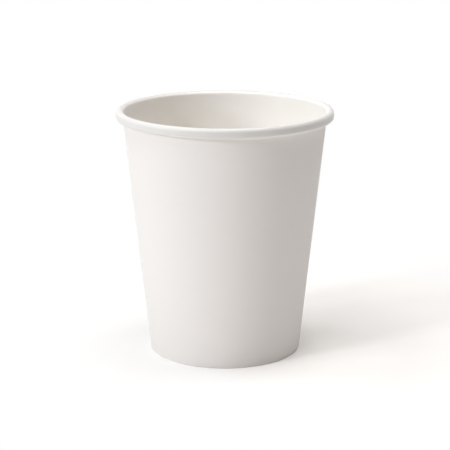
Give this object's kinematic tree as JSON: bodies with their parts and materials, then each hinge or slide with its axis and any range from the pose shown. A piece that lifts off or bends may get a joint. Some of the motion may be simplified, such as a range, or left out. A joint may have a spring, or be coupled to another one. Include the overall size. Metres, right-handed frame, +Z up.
{
  "type": "paper coffee cup",
  "caption": "Single-wall paper cup for hot drinks: a wrapped, tapering board wall with a rolled rim and side seam, around a recessed base disc.",
  "frame": {"origin": "centre of the foot, in the plane the cup stands on", "axes": "+Z up along the cup's axis, through its open mouth; the side seam lies 15 degrees from +X towards +Y"},
  "size_m": [0.08, 0.08, 0.091],
  "materials": {
    "cup_board": "uncoated white board outside, thin clear coating with a slight sheen inside",
    "base_board": "white board with a thin clear coating on its upper side"
  },
  "bodies": {
    "root": {"side_wall": "cup_board", "base_disc": "base_board"}
  },
  "joints": []
}
